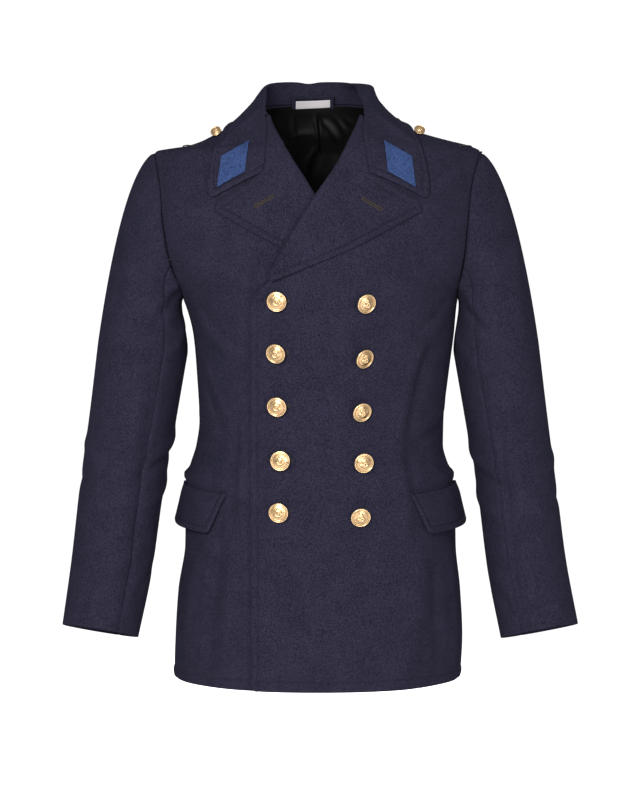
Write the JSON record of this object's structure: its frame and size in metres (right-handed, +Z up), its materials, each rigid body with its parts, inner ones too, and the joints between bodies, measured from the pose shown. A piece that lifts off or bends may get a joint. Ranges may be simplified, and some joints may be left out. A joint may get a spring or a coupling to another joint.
{
  "type": "naval overcoat",
  "caption": "Short double-breasted naval coat of heavy navy wool with wide lapels, gold domed buttons, pocket flaps and blue collar patches, worn to keep a seaman warm.",
  "frame": {"origin": "middle of the neck hole at the height where the shoulder seams end", "axes": "+Z up along the body, the front faces -Y, +X to the wearer's left"},
  "size_m": [0.6593, 0.2667, 0.7688],
  "materials": {
    "melton": "matte",
    "lining": "satin",
    "patch_cloth": "matte",
    "label_cloth": "matte",
    "gilt": "polished"
  },
  "bodies": {
    "root": {"back_left": "melton", "back_right": "melton", "button_left_1": "gilt", "button_left_2": "gilt", "button_left_3": "gilt", "button_left_4": "gilt", "button_left_5": "gilt", "button_right_1": "gilt", "button_right_2": "gilt", "button_right_3": "gilt", "button_right_4": "gilt", "button_right_5": "gilt", "collar": "melton", "flap_left": "melton", "flap_right": "melton", "front_left": "melton", "front_right": "melton", "hanger_loop": "melton", "lapel_left": "melton", "lapel_right": "melton", "lining_back": "lining", "neck_label": "label_cloth", "patch_left": "patch_cloth", "patch_right": "patch_cloth", "shoulder_button_left": "gilt", "shoulder_button_right": "gilt", "sleeve_left_under": "melton", "sleeve_left_upper": "melton", "sleeve_right_under": "melton", "sleeve_right_upper": "melton"}
  },
  "joints": []
}
